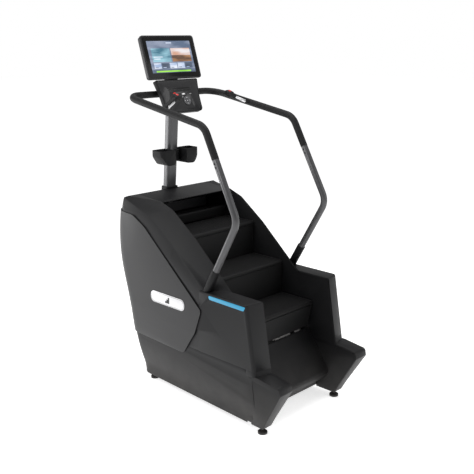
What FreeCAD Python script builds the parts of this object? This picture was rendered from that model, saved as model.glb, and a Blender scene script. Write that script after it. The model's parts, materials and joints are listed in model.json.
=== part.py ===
"""Stair climber: a revolving staircase between two hollow side covers, with handrails and a console.

Millimetres. +X is the climber's right, +Y the way the climber faces, +Z up. Everything is laid out
from the entry feet (y = 0 there) and moved at export so that the origin is on the floor in mid-length.
"""
import FreeCAD, Part
import math
import os

os.makedirs("parts", exist_ok=True)
V = FreeCAD.Vector

# ---- driving dimensions: body -------------------------------------------------------------------
MID_Y = 500.0                     # half-way along the machine, which becomes the origin
GAP = 0.3                         # running gap between pieces that move past each other
WELL_HALF = 280.0                 # half the clear width between the inner walls
COVER_IN = 285.5                  # inner face of the side covers, just clear of the inner walls
COVER_HALF = 392.0                # half the width over the side covers, without the accent panels
WALL = 4.0                        # thickness of the moulded covers
ACCENT_T = 7.0                    # how far the accent panels stand proud
SHELF_Z = 741.0
SEAM_Z = 380.0                    # seam between the upper and lower side covers
SKIRT_Z = 40.0                    # lowest edge of the covers
HOOD_Z = 1186.0                   # height of the hood where the mast comes out
TAIL_Y = 1075.0                   # where the hood turns down at the console end

# height, half width at the entry, half width at the console end, console-end face
SECTIONS = ((SKIRT_Z, 350, 305, 1062), (150, 364, 325, 1068), (330, 388, 380, 1060),
            (500, 392, 392, 1080), (650, 392, 392, 1120), (800, 392, 392, 1155), (900, 392, 392, 1163),
            (1020, 392, 392, 1157), (1110, 392, 392, 1142), (1210, 392, 392, 1100))
SECTION_Y = 20.0                  # where the entry half width is measured
CORNER_R = 85.0
RIM_X = WELL_HALF + 6             # inner edge of the sloping band
BAND_X = RIM_X + 88               # outer edge of the sloping band, where the shoulder starts
SHOULDER_W = 18.0
# inner edge of the band as (y, z), with the fall of the band and of the shoulder up to the next point
RIM = ((262, 735, 131, 85), (560, 997, 115, 85), (740, 1127, 91, 65), (830, 1166, 0, 0))
RIM_END_Y, RIM_END_Z = 836.0, 1166.0
CROWN_RISE = 0.06                 # slope of the hood towards the mast
CROWN = ((RIM_X, 850, 1167), (BAND_X, 1100, 1175), (BAND_X, 924, 1113))
CROWN_SHOULDER = 60.0
SHELF_FRONT = 28.0                # the inner edge of the upright front stands this much further out
FRONT_Z, FRONT_RISE = 357.0, 5.9  # height where the front meets y = 0, and its steepness

# side views as (y, z, corner radius)
ACCENT = ((402, 625, 26), (455, 480, 60), (560, 327, 40), (1400, 352, 0), (1400, 1118, 0),
          (985, 1084, 60), (880, 1030, 200), (440, 656, 14))
BADGE = ((537, 588, 30), (537, 656, 30), (829, 656, 30), (829, 588, 30))
LIGHT_BAR = ((68, 729, 5), (80, 705, 10), (338, 708, 10), (350, 730, 8))
LEDGE = ((40, 352, 0), (-22, 352, 6), (-168, 334, 22), (-178, 296, 10), (-62, 100, 60), (-30, SKIRT_Z, 10),
         (40, SKIRT_Z, 0))
LEDGE_INSIDE = ((44, 348, 0), (-18, 348, 6), (-162, 329, 18), (-171, 298, 8), (-54, 100, 56), (-18, 20, 8),
                (44, 20, 0))
FLANK = ((-300, 300, 0), (35, 292, 0), (172, 180, 0), (172, 20, 0), (-300, 20, 0))
FLANK_INSIDE = ((-300, 304, 0), (35, 297, 0), (176, 184, 0), (176, 20, 0), (-300, 20, 0))
FLANK_Y, FLANK_TURN = 172.0, 3.0  # the flank of the foot ledge turns inwards from here, degrees

VENT_ROWS, VENT_PITCH, VENT_Z = 6, 34.0, 640.0
INLET_HALF, INLET_Z0, INLET_Z1 = 42.0, 118.0, 172.0

# ---- driving dimensions: staircase and drive ----------------------------------------------------
STEP_RUN, STEP_RISE = 239.5, 205.0
STEP_HALF = 276.5                 # half the width of a step
NOSE_Y, NOSE_Z = 145.0, 581.0     # nose of the lowest visible step
STEP_COUNT = 3
TREAD_T = 24.0
TREAD_BACK = 6.0                  # how far a tread runs on past the nose above it
RISER_T = 12.0
STEP_PITCH = math.hypot(STEP_RUN, STEP_RISE)
ALONG = V(0, -STEP_RUN / STEP_PITCH, -STEP_RISE / STEP_PITCH)      # down the incline
INTO = V(0, STEP_RISE / STEP_PITCH, -STEP_RUN / STEP_PITCH)        # into the machine
TOP_NOSE = V(0, 868, 1060)        # nose of the step that comes over the upper shaft

LINKS_PER_STEP = 8
CHAIN_PITCH = STEP_PITCH / LINKS_PER_STEP
TEETH = 20
TOOTH_STEP = 2 * math.pi / TEETH
CHAIN_R = CHAIN_PITCH / (2 * math.sin(math.pi / TEETH))            # pitch radius of the sprockets
CHAIN_DEPTH = 187.0               # chain line below the nose line
RUN_LINKS = 18                    # links in the straight run between the shafts
WRAP_PINS = 9                     # rollers of a chain that lie on a sprocket
CHAIN_X = 266.0                   # mid-plane of each chain
CHEEK_X0, CHEEK_X1 = CHAIN_X - 13.0, CHAIN_X - 7.0
ROLLER_R = 4.5
LINK_HALF = 8.0                   # half the height of a link plate
LOWER = V(0, 358.5, 352)          # lower shaft
UPPER = LOWER - ALONG * (RUN_LINKS * CHAIN_PITCH)
OUTWARD = math.atan2(-INTO.z, -INTO.y)      # angle from a shaft to the front tangent of its sprocket
IDLER = V(0, 968, 520)            # intermediate shaft of the drive
GEN = V(0, 880, 240)              # alternator shaft
SHAFT_R, IDLER_SHAFT_R, GEN_SHAFT_R = 15.0, 10.0, 8.0
BEARING_R = 26.0
RUNNING = 0.05                    # radial clearance of a shaft in its bearing
BELT_X = (310.0, 322.0)
SECOND_BELT_X = (325.0, 335.0)
DRIVE_R, IDLER_R = 112.0, 30.0
IDLER_BIG_R, GEN_R = 78.0, 20.0
BELT_T = 3.0

# ---- driving dimensions: frame ------------------------------------------------------------------
PLATE_X0, PLATE_X1 = 300.0, 306.0 # steel side plates of the frame
RAIL_HALF = 15.0                  # half the width of a floor rail
RAIL_END = 14.0                   # how far a floor rail runs on past its foot
FRAME_Z0, FRAME_Z1 = 44.0, 92.0
ENTRY_FOOT = V(321, 0, 0)
CONSOLE_FOOT = V(262, 978, 0)
STEM_R = 6.0                      # levelling screw of a foot
FOOT_R, FOOT_T = 27.0, 14.0
WHEEL = V(212, 1006, 44)
WHEEL_R = 32.0

# ---- driving dimensions: mast, rails and console ------------------------------------------------
RAIL_R = 19.5                     # radius of the handrail tube
RAIL_T = 2.5
MAST_X, MAST_T = 37.0, 3.0        # half width and wall of the mast tube
MAST_D = 30.0                     # half depth of the mast tube
MAST_Y, MAST_Z = 1102.0, 1170.0   # where the mast leaves the hood
MAST_LEAN = 39.0 / 479.0          # lean towards the climber, per unit of height
MAST_FOOT, MAST_TOP = 1020.0, 1742.0
BAR = V(0, 1056, 1770)            # cross bar that joins the two handrails
RAIL_BASE = V(356, 470, 590)
RAIL_KNEE = V(373, 143, 1172)     # lower bend, nearest the climber's hip
RAIL_SHOULDER = V(361, 398, 1650) # upper bend
RAIL_CORNER = V(352, 1056, 1770)
RAIL_BEND = 95.0                  # bend radius of the handrails
GRIP_AT = 0.65                    # where the black grip starts, between the two bends
HEAD_HALF = 62.0
STUB_START = V(345, 742, 1714)
STUB_END = V(228, 776, 1762)
STUB_R = 16.5
CONTACT_AT, CONTACT_L, CONTACT_HALF = 30.0, 74.0, 9.0
SCREEN_LOW = V(0, 1017, 1863)
SCREEN_TILT = math.degrees(math.atan2(80, 249))
SCREEN_HALF, SCREEN_H, SCREEN_T = 205.0, 258.0, 36.0
PANEL_LOW = V(0, 935, 1665)
PANEL_TILT = math.degrees(math.atan2(80, 192))
PANEL_H, PANEL_T = 206.0, 30.0
STOP_KEY = (-50.0, 112.0)
WHITE_KEY = (20.0, 112.0)
NAV_KEY = (38.0, 70.0)
NAV_R = 27.0


# ---- helpers ------------------------------------------------------------------------------------
def box(x0, x1, y0, y1, z0, z1):
    return Part.makeBox(x1 - x0, y1 - y0, z1 - z0, V(x0, y0, z0))


def rod(start, axis, radius, length):
    return Part.makeCylinder(radius, length, start, axis)


def ring(start, axis, outer, inner, length):
    return rod(start, axis, outer, length).cut(rod(start, axis, inner, length))


def at_x(point, x):
    return V(x, point.y, point.z)


def mirrored(shape):
    return shape.mirror(V(0, 0, 0), V(1, 0, 0))


def rounded_wire(corners, radii):
    """Closed or open run through the corners, with an arc of the given radius at each one."""
    edges = []
    count = len(corners)
    starts, ends = [], []
    for index, corner in enumerate(corners):
        radius = radii[index]
        before = corners[index - 1] - corner
        after = corners[(index + 1) % count] - corner
        if radius <= 0:
            starts.append(corner)
            ends.append(corner)
            continue
        before.normalize()
        after.normalize()
        half = before.getAngle(after) / 2
        reach = radius / math.tan(half)
        starts.append(corner + before * reach)
        ends.append(corner + after * reach)
        middle = before + after
        middle.normalize()
        centre = corner + middle * (radius / math.sin(half))
        edges.append((index, Part.Arc(starts[-1], centre - middle * radius, ends[-1]).toShape()))
    return edges, starts, ends


def closed_wire(corners, radii):
    arcs, starts, ends = rounded_wire(corners, radii)
    arc_at = dict(arcs)
    edges = []
    for index in range(len(corners)):
        if index in arc_at:
            edges.append(arc_at[index])
        here, there = ends[index], starts[(index + 1) % len(corners)]
        if here.distanceToPoint(there) > 1e-6:
            edges.append(Part.makeLine(here, there))
    return Part.Wire(edges)


def open_wire(corners, radii):
    arcs, starts, ends = rounded_wire(corners, [0] + list(radii) + [0])
    arc_at = dict(arcs)
    edges = []
    for index in range(len(corners) - 1):
        if index in arc_at:
            edges.append(arc_at[index])
        edges.append(Part.makeLine(ends[index], starts[index + 1]))
    return Part.Wire(edges)


def side_shape(outline, x0, x1):
    """Prism across X from an outline of (y, z, corner radius)."""
    corners = [V(x0, y, z) for y, z, _ in outline]
    wire = closed_wire(corners, [radius for _, _, radius in outline])
    return Part.Face(wire).extrude(V(x1 - x0, 0, 0))


def tube(corners, radii, outer, inner):
    path = open_wire(corners, radii)
    axis = corners[1] - corners[0]
    solids = []
    for radius in (outer, inner):
        circle = Part.Wire(Part.makeCircle(radius, corners[0], axis))
        solids.append(path.makePipeShell([circle], True, False) if radius else None)
    return solids[0].cut(solids[1]) if inner else solids[0]


def export(name, *solids):
    shape = solids[0] if len(solids) == 1 else Part.makeCompound(solids)
    shape = shape.copy()
    shape.translate(V(0, -MID_Y, 0))
    shape.exportStep("parts/" + name + ".step")


def both(*solids):
    return list(solids) + [mirrored(solid) for solid in solids]


def export_pair(name, *solids):
    export("right_" + name, *solids)
    export("left_" + name, *[mirrored(solid) for solid in solids])


# ---- outer body ---------------------------------------------------------------------------------
def housing_section(z, half, half_back, back, inset):
    half, half_back, back = half - inset, half_back - inset, back - inset
    corners = [V(-half, SECTION_Y, z), V(half, SECTION_Y, z), V(half_back, back, z), V(-half_back, back, z)]
    return closed_wire(corners, [0, 0, CORNER_R - inset, CORNER_R - inset])


def plane_cut(shape, point, along, across, inset=0.0):
    """Cuts away what lies above the plane through the point, lowered square to itself by the inset."""
    normal = along.cross(across)
    normal.normalize()
    if normal.z < 0:
        normal = normal * -1
    slab = Part.makeBox(4000, 4000, 1500, V(-2000, -2000, 0))
    turn = FreeCAD.Rotation(V(0, 0, 1), normal)
    slab.Placement = FreeCAD.Placement(point - normal * inset, turn).multiply(slab.Placement)
    return shape.cut(slab)


def housing(inset):
    """Solid outline of the whole body: sloping rim and bands, crowned hood and rounded corners."""
    shape = housing_plain(inset)
    across = V(1, 0, 0)
    for (y, z, band_fall, shoulder_fall), (next_y, next_z, _, _) in zip(RIM, RIM[1:]):
        run = V(0, next_y - y, next_z - z)
        shape = plane_cut(shape, V(0, y, z), run, across, inset)
        for side in (1, -1):
            outer = V(side * BAND_X, y, z - band_fall)
            shape = plane_cut(shape, outer, run, V(side * (BAND_X - RIM_X), 0, -band_fall), inset)
            shape = plane_cut(shape, outer, run, V(side * SHOULDER_W, 0, -shoulder_fall), inset)
    shape = plane_cut(shape, V(0, RIM_END_Y, RIM_END_Z), V(0, 1, CROWN_RISE), across, inset)
    for side in (1, -1):
        rim, back, low = [V(side * x, y, z) for x, y, z in CROWN]
        shape = plane_cut(shape, rim, back - rim, low - rim, inset)
        shape = plane_cut(shape, low, back - low, V(side * SHOULDER_W, 0, -CROWN_SHOULDER), inset)
    return plane_cut(shape, V(0, TAIL_Y, HOOD_Z - 8), V(0, 100, -48), across, inset)


def housing_plain(inset):
    return Part.makeLoft([housing_section(*s, inset) for s in SECTIONS], True, False)


def front_section(z, inset, back, inner_x):
    """Plan of the upright front at one height; it leans back as it rises."""
    y = (z - FRONT_Z) / FRONT_RISE + inset
    corners = [V(inner_x, y - SHELF_FRONT, z), V(COVER_HALF - inset, y, z), V(COVER_HALF - inset, back, z),
               V(inner_x, back, z)]
    return closed_wire(corners, [0, 24 - inset, 0, 0])


def front_block(low, top, inset, back):
    inner_x = WELL_HALF - 5 if inset else COVER_IN
    sections = [front_section(z, inset, back, inner_x) for z in (low, top)]
    return Part.makeLoft(sections, True, True)


def entry_block(inset):
    """Upright front of the side cover with the flat shelf on top."""
    top, low = SHELF_Z - inset, SEAM_Z - inset
    block = front_block(low, top, inset, 420 - inset)
    if not inset:
        edges = [e for e in block.Edges if abs(e.BoundBox.ZMin - top) < 0.1 and e.BoundBox.ZLength < 0.1]
        outer = [e for e in edges if e.BoundBox.YMin < 400 and e.BoundBox.XMax > COVER_IN + 1]
        block = block.makeFillet(12, outer)
    return block


def side_half(shape, inner_x):
    return shape.common(box(inner_x, 500, -300, 1300, 0, 1300))


def side_covers(outer, inner):
    behind = box(0, 500, 150, 1300, 0, 1300)
    solid = side_half(outer, COVER_IN).common(behind).fuse(entry_block(0))
    hollow = side_half(inner, WELL_HALF - 5).common(behind).fuse(entry_block(WALL))
    below = box(0, 500, -300, 1300, 0, SEAM_Z)
    upper = biggest(solid.cut(below).cut(hollow).cut(light_bar()))
    export_pair("upper_side_cover", upper.cut(rail_rod(RAIL_R + 2.5)))
    export("light_bars", *both(light_bar()))
    export_pair("lower_side_cover", lower_cover(outer, inner))
    export("accent_panels", *both(accent_panel()))
    export("badge_plates", *both(badge_plate().cut(accent_panel())))


def biggest(shape):
    return max(shape.Solids, key=lambda solid: solid.Volume)


def lower_solid(skirt, ledge, flank, inset):
    """Skirt and foot ledge as one solid, with the flank of the ledge turned in under a crease."""
    inner_x = WELL_HALF - 5 if inset else COVER_IN
    block = side_shape(ledge, inner_x, COVER_HALF + 20).common(skirt_taper(inset))
    whole = side_half(skirt, inner_x).fuse([block, front_block(346 - inset, SEAM_Z + 4, inset, 60)])
    turned = skirt_taper(inset)
    turned.rotate(V(SECTIONS[1][1] - inset, FLANK_Y, 0), V(0, 0, 1), FLANK_TURN)
    return whole.cut(side_shape(flank, inner_x, COVER_HALF + 30).cut(turned))


def lower_cover(outer, inner):
    """Skirt under the seam with the foot ledge that reaches out past the entry."""
    solid = lower_solid(outer, LEDGE, FLANK, 0).cut(box(0, 500, -300, 1300, SEAM_Z, 1300))
    shell = solid.cut(lower_solid(inner, LEDGE_INSIDE, FLANK_INSIDE, WALL))
    shell = shell.cut(box(0, 500, -300, 1300, 0, SKIRT_Z))
    return biggest(shell.cut(box(0, 500, 60, 92, 0, SKIRT_Z + 10)))


def skirt_taper(inset):
    """Cross-section of the skirt, which leans in towards the floor."""
    corners = [V(-300, -400, SKIRT_Z - 30), V(SECTIONS[0][1] - inset, -400, SKIRT_Z - 30)]
    corners += [V(half - inset, -400, z) for z, half, _, _ in SECTIONS[:4]] + [V(-300, -400, SECTIONS[3][0])]
    return Part.Face(Part.makePolygon(corners + corners[:1])).extrude(V(0, 1100, 0))


def light_bar():
    """Lit strip let into the side of the cover just under the shelf."""
    return side_shape(LIGHT_BAR, COVER_HALF - 2.5, COVER_HALF + 1.5)


def accent_panel():
    skin = housing_plain(-ACCENT_T).cut(housing_plain(0))
    skin = skin.common(box(300, 500, -300, 1300, 0, 1300))
    return biggest(skin.common(side_shape(ACCENT, 295, 420)))


def badge_plate():
    face = COVER_HALF + ACCENT_T
    return side_shape(BADGE, face, face + 2.5)


def hood_and_rear(outer, inner):
    shell = outer.cut(inner)
    middle = shell.common(box(-WELL_HALF - 5, WELL_HALF + 5, RIM_END_Y, 1300, 0, 1300))
    mast_hole = mast_solid(MAST_X + 0.5, MAST_D + 0.5, 1000, 1300)
    hood = middle.common(box(-400, 400, RIM_END_Y, 1300, 1080, 1300)).cut(mast_hole)
    lip = box(-WELL_HALF, WELL_HALF, RIM_END_Y - 5, RIM_END_Y + 4, 1112, 1150)
    export("hood", biggest(hood.fuse(lip)))
    rear = middle.common(box(-400, 400, 900, 1300, 96, 1080 - 0.5))
    for row in range(VENT_ROWS):
        z = VENT_Z + VENT_PITCH * row
        rear = rear.cut(box(-150, 150, 1000, 1300, z, z + 12))
    rear = rear.cut(box(-INLET_HALF, INLET_HALF, 900, 1300, INLET_Z0, INLET_Z1))
    export("rear_cover", biggest(rear))


def inner_walls():
    rim = [(y + 3, z - 3, 0) for y, z, _, _ in RIM[:3]]
    outline = ((-26, 350, 0), (44, SHELF_Z - 3, 4), (RIM[0][0], SHELF_Z - 3, 0), *rim,
               (RIM_END_Y - 12, RIM_END_Z - 18, 0), (1060, RIM_END_Z - 18, 0), (1060, 1040, 0), (1110, 900, 0),
               (900, 96, 0), (105, 96, 0),
               (105, 42, 0), (-28, 42, 0), (-60, 102, 60), (-174, 296, 10), (-164, 331, 22))
    wall = side_shape(outline, WELL_HALF, WELL_HALF + 5)
    for point, radius in ((UPPER, 24), (LOWER, 24), (IDLER, 24), (GEN, 66)):
        wall = wall.cut(rod(at_x(point, WELL_HALF - 5), V(1, 0, 0), radius, 20))
    bar = Part.makeBox(18, 380, 8, V(0, 0, 0))
    start = LOWER - INTO * (CHAIN_R - 17) - ALONG * 165
    bar.Placement = FreeCAD.Placement(at_x(start, WELL_HALF - 18), FreeCAD.Rotation(V(0, 1, 0), ALONG * -1))
    export("inner_walls", *both(wall.fuse(bar)))


# ---- frame --------------------------------------------------------------------------------------
def box_tube(x0, x1, y0, y1, z0, z1, wall, axis):
    outer = box(x0, x1, y0, y1, z0, z1)
    dx, dy, dz = {"x": (0, wall, wall), "y": (wall, 0, wall), "z": (wall, wall, 0)}[axis]
    return outer.cut(box(x0 + dx, x1 - dx, y0 + dy, y1 - dy, z0 + dz, z1 - dz))


def base_rail(wall=3.0):
    """Floor rail from the entry foot to the console foot, which stands further in."""
    length = ENTRY_FOOT.distanceToPoint(CONSOLE_FOOT)
    x = ENTRY_FOOT.x
    extent = (x - RAIL_HALF, x + RAIL_HALF, -RAIL_END, length + RAIL_END, FRAME_Z0, FRAME_Z1)
    rail = box(*extent)
    if wall:
        rail = box_tube(*extent, wall, "y")
        for y in (0, length):
            rail = rail.cut(rod(V(x, y, FRAME_Z0 - 1), V(0, 0, 1), STEM_R + RUNNING, 5))
    angle = math.degrees(math.atan2(ENTRY_FOOT.x - CONSOLE_FOOT.x, CONSOLE_FOOT.y))
    rail.rotate(ENTRY_FOOT, V(0, 0, 1), angle)
    return rail


def cross_tube(y0, y1):
    bar = box_tube(-340, 340, y0, y1, FRAME_Z0 + 4, FRAME_Z1 - 4, 3, "x")
    rail = base_rail(0)
    bar = bar.cut(rail).cut(mirrored(rail))
    return max(bar.Solids, key=lambda solid: -abs(solid.CenterOfMass.x))


def frame():
    welded = both(base_rail(), wheel_fork()) + [cross_tube(110, 150), cross_tube(900, 940)]
    export("base_frame", welded[0].fuse(welded[1:]))
    outline = ((150, FRAME_Z1, 0), (690, FRAME_Z1, 0), (925, 175, 40), (1010, 400, 60), (1066, 860, 60),
               (1066, 1092, 20), (960, 1092, 40), (250, 560, 60), (150, 300, 40))
    plate = side_shape(outline, PLATE_X0, PLATE_X1)
    for point, radius in ((UPPER, BEARING_R), (LOWER, BEARING_R), (IDLER, BEARING_R), (GEN, 16)):
        plate = plate.cut(rod(at_x(point, PLATE_X0 - 2), V(1, 0, 0), radius, 12))
    for y, z in ((560, 330), (740, 330), (600, 560), (760, 650)):
        plate = plate.cut(rod(V(PLATE_X0 - 2, y, z), V(1, 0, 0), 58, 12))
    export("frame_plates", *both(plate.fuse(rail_socket())))
    beam = box_tube(-PLATE_X0, PLATE_X0, 1072, 1132, 1026, 1086, 3, "x")
    ear = box(PLATE_X0, PLATE_X1, 1068, 1130, 1028, 1084).fuse(box(PLATE_X1, PLATE_X1 + 5, 1000, 1130, 1028, 1084))
    export("mast_beam", beam.cut(mast_solid(MAST_X, MAST_D, MAST_FOOT, 1100)).fuse(both(ear)))


def mast_line(z):
    return V(0, MAST_Y - (z - MAST_Z) * MAST_LEAN, z)


def mast_solid(half_x, half_y, z0, z1):
    corners = [V(-half_x, -half_y, 0), V(half_x, -half_y, 0), V(half_x, half_y, 0), V(-half_x, half_y, 0)]
    low = closed_wire([c + mast_line(z0) for c in corners], [20, 20, 20, 20])
    high = closed_wire([c + mast_line(z1) for c in corners], [20, 20, 20, 20])
    return Part.makeLoft([low, high], True, True)


def mast():
    bore = mast_solid(MAST_X - MAST_T, MAST_D - MAST_T, MAST_FOOT, MAST_TOP)
    export("mast", mast_solid(MAST_X, MAST_D, MAST_FOOT, MAST_TOP).cut(bore))
    collar = mast_solid(MAST_X + 8, MAST_D + 8, HOOD_Z - 24, HOOD_Z + 3)
    collar = collar.cut(mast_solid(MAST_X, MAST_D, HOOD_Z - 30, HOOD_Z + 30))
    export("mast_collar", biggest(collar.cut(housing(0))))


# ---- handrails and holders ----------------------------------------------------------------------
def rail_rod(radius):
    axis = RAIL_KNEE - RAIL_BASE
    return rod(RAIL_BASE, axis, radius, axis.Length - 140)


def grip_start():
    return RAIL_KNEE + (RAIL_SHOULDER - RAIL_KNEE) * GRIP_AT


def rail_socket():
    """Clamp that holds the foot of the handrail on the steel side plate."""
    axis = RAIL_KNEE - RAIL_BASE
    axis.normalize()
    block = rod(RAIL_BASE, axis, 29, 90)
    arm = side_shape(((430, 590, 4), (486, 610, 4), (450, 690, 4), (392, 668, 4)), PLATE_X1, RAIL_BASE.x - 4)
    return block.fuse(arm).cut(rail_rod(RAIL_R)).common(box(PLATE_X1, 387, 0, 900, 0, 900))


def handrail(outer):
    lower = tube([RAIL_BASE, RAIL_KNEE, grip_start()], [RAIL_BEND], RAIL_R, RAIL_R - RAIL_T)
    end = V(HEAD_HALF, BAR.y, BAR.z)
    upper = tube([grip_start(), RAIL_SHOULDER, RAIL_CORNER, end], [RAIL_BEND, RAIL_BEND], RAIL_R + 0.8, RAIL_R - RAIL_T)
    export_pair("upper_handrail", upper)
    axis = RAIL_KNEE - RAIL_BASE
    axis.normalize()
    sleeve = ring(RAIL_BASE, axis, RAIL_R + 4.5, RAIL_R, 325)
    sleeve = sleeve.cut(box(300, 500, 0, 900, 0, SHELF_Z)).cut(outer)
    export_pair("lower_handrail", lower.fuse(biggest(sleeve)))


def stub_grips():
    """Short pulse grips that reach in from each rail, with a key pod on the end."""
    axis = STUB_END - STUB_START
    length = axis.Length
    axis.normalize()
    grip = rod(STUB_START, axis, STUB_R, length)
    core = rod(STUB_START, axis, STUB_R - 1.5, length)
    rail = tube([grip_start(), RAIL_SHOULDER, RAIL_CORNER], [RAIL_BEND], RAIL_R + 0.8, 0)
    seat = Part.makeBox(CONTACT_L, 2 * CONTACT_HALF, 2 * STUB_R, V(0, -CONTACT_HALF, 0))
    seat.Placement = FreeCAD.Placement(STUB_START + axis * CONTACT_AT, FreeCAD.Rotation(V(1, 0, 0), axis))
    strip = rod(STUB_START, axis, STUB_R + 0.4, length).cut(core).common(seat)
    contact = biggest(strip)
    grip = biggest(grip.cut(rail).cut(contact))
    pod = Part.makeBox(44, 46, 34, V(-22, -23, -14))
    pod = pod.makeFillet(9, pod.Edges)
    pod.Placement = FreeCAD.Placement(STUB_END + axis * 16, FreeCAD.Rotation(V(0, 1, 0), V(0, 0.93, 0.36)))
    up = V(0, -0.36, 0.93)
    seat = STUB_END + axis * 16 + up * 20
    pod = pod.cut(rod(seat - up * 5, up, 9.3, 10))
    button = rod(seat - up * 2.6, up, 9.0, 5.6)
    export("pulse_grips", *both(biggest(grip.fuse(pod))))
    export("pulse_contacts", *both(contact))
    export_pair("pod_button", button)


def accessory_holders():
    """Shallow wing pockets on both sides of the mast."""
    outer = ((46, 1342, 12), (108, 1338, 30), (150, 1396, 30), (156, 1432, 4), (46, 1432, 4))
    inner = ((50, 1347, 8), (107, 1343, 26), (145.5, 1398, 26), (152, 1440, 0), (50, 1440, 0))
    shapes = []
    for outline, inset in ((outer, 0), (inner, 5)):
        corners = [V(x, 900, z) for x, z, _ in outline]
        front = Part.Face(closed_wire(corners, [r for _, _, r in outline])).extrude(V(0, 300, 0))
        plan = [V(30, 984 + inset, 1300), V(156.5 - inset, 984 + inset, 1300), V(156.5 - inset, 1086 - inset, 1300),
                V(30, 1086 - inset, 1300)]
        plan = Part.Face(closed_wire(plan, [0, 38 - inset, 20 - inset, 0])).extrude(V(0, 0, 200))
        shapes.append(front.common(plan))
    clamp = mast_solid(46, 40, 1352, 1422).cut(mast_solid(MAST_X, MAST_D, 1340, 1440))
    clamp = clamp.common(box(-46, 46, 900, 1300, 1300, 1500))
    export("accessory_holder", clamp.fuse(both(shapes[0].cut(shapes[1]))))


# ---- console ------------------------------------------------------------------------------------
def tilted(shape, low_point, tilt):
    shape = shape.copy()
    shape.rotate(V(0, 0, 0), V(1, 0, 0), -tilt)
    shape.translate(low_point)
    return shape


def slab(corners, radii, y0, y1):
    wire = closed_wire([V(x, y0, z) for x, z in corners], radii)
    return Part.Face(wire).extrude(V(0, y1 - y0, 0))


def plate(half, z0, z1, radius, y0, y1):
    return slab([(-half, z0), (half, z0), (half, z1), (-half, z1)], [radius] * 4, y0, y1)


def display():
    front = plate(SCREEN_HALF + 5, -4, SCREEN_H + 4, 18, 0, 14)
    body = plate(SCREEN_HALF, 0, SCREEN_H, 16, 14, SCREEN_T)
    body = body.makeFillet(8, [e for e in body.Edges if abs(e.BoundBox.YMin - SCREEN_T) < 0.01])
    housing_solid = front.fuse(body).cut(plate(SCREEN_HALF - 5, 5, SCREEN_H - 5, 12, -1, SCREEN_T - 4))
    glass = plate(SCREEN_HALF - 5, 5, SCREEN_H - 5, 12, 0.6, 3.6)
    for name, shape in (("display_housing", housing_solid), ("display_glass", glass)):
        export(name, tilted(shape, SCREEN_LOW, SCREEN_TILT))
    screen_board = tilted(box(-150, 150, 10, 12, 50, 210), SCREEN_LOW, SCREEN_TILT)
    keypad_board = tilted(box(-100, 100, 14, 16, 30, 170), PANEL_LOW, PANEL_TILT)
    controller = box(-90, 90, 860, 950, FRAME_Z1 - 4, 150)
    export("circuit_boards", screen_board, keypad_board, controller)


def keypad_outline(inset):
    low, high = 143 - inset, 168 - inset
    return [(-low, inset), (low, inset), (low + 5, 100), (high, PANEL_H - inset),
            (-high, PANEL_H - inset), (-low - 5, 100)]


def keypad():
    radii = [22, 22, 160, 8, 8, 160]
    shell = slab(keypad_outline(0), radii, 0, PANEL_T)
    shell = shell.cut(slab(keypad_outline(6), radii, -1, PANEL_T - 4))
    face = slab(keypad_outline(6.0), radii, 1.0, 5.0)
    parts = {"stop_button": rod(V(STOP_KEY[0], -3.0, STOP_KEY[1]), V(0, 1, 0), 12, 9)}
    parts["white_key"] = plate(11, -5, 5, 4.5, -1.6, 5)
    parts["white_key"].translate(V(WHITE_KEY[0], 0, WHITE_KEY[1]))
    parts["select_key"] = rod(V(NAV_KEY[0], -1.6, NAV_KEY[1]), V(0, 1, 0), 9, 6.6)
    parts["direction_pad"] = ring(V(NAV_KEY[0], -1.6, NAV_KEY[1]), V(0, 1, 0), NAV_R, 11, 6.6)
    for key in parts.values():
        face = face.cut(grown(key))
    face = biggest(face)
    ledge = box(-92, 92, -7, 1.0, 150, 153).fuse(box(-86, 86, -5, 1.0, 138, 141))
    export("keypad_housing", tilted(shell, PANEL_LOW, PANEL_TILT))
    export("keypad_face", tilted(face.fuse(ledge), PANEL_LOW, PANEL_TILT))
    for name, key in parts.items():
        export(name, tilted(key, PANEL_LOW, PANEL_TILT))


def grown(key):
    """The hole a key runs in: its own outline with the running gap round it."""
    bounds = key.BoundBox
    middle = V((bounds.XMin + bounds.XMax) / 2, 0, (bounds.ZMin + bounds.ZMax) / 2)
    scale_x = 1 + 2 * GAP * 1.4 / bounds.XLength
    scale_z = 1 + 2 * GAP * 1.4 / bounds.ZLength
    matrix = FreeCAD.Matrix()
    matrix.move(middle * -1)
    matrix.scale(V(scale_x, 3, scale_z))
    matrix.move(middle)
    return key.transformGeometry(matrix)


def head_casting():
    """Joins the mast, the two rails, the display arm and the keypad."""
    core = box(-HEAD_HALF, HEAD_HALF, 1022, 1086, MAST_TOP, 1800)
    core = core.makeFillet(12, [e for e in core.Edges if e.BoundBox.XLength > 100])
    arm = side_shape(((1028, 1799, 4), (1080, 1799, 4), (1094, 1880, 10), (1062, 1920, 10)), -34, 34)
    arm = arm.fuse(tilted(box(-34, 34, SCREEN_T, SCREEN_T + 30, 20, 90), SCREEN_LOW, SCREEN_TILT))
    bracket = tilted(box(-60, 60, PANEL_T, PANEL_T + 8, 60, 150), PANEL_LOW, PANEL_TILT)
    neck = side_shape(((985, 1765, 2), (1026, 1765, 2), (1026, 1796, 2), (998, 1796, 2)), -50, 50)
    casting = core.fuse([bracket, neck, arm]).cut(keypad_block()).cut(display_block())
    export("console_bracket", biggest(casting))


def keypad_block():
    return tilted(slab(keypad_outline(0), [0] * 6, 0, PANEL_T), PANEL_LOW, PANEL_TILT)


def display_block():
    return tilted(plate(SCREEN_HALF, 0, SCREEN_H, 16, 0, SCREEN_T), SCREEN_LOW, SCREEN_TILT)


# ---- staircase ----------------------------------------------------------------------------------
def nose(index):
    return V(0, NOSE_Y, NOSE_Z) - ALONG * (STEP_PITCH * index)


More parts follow.
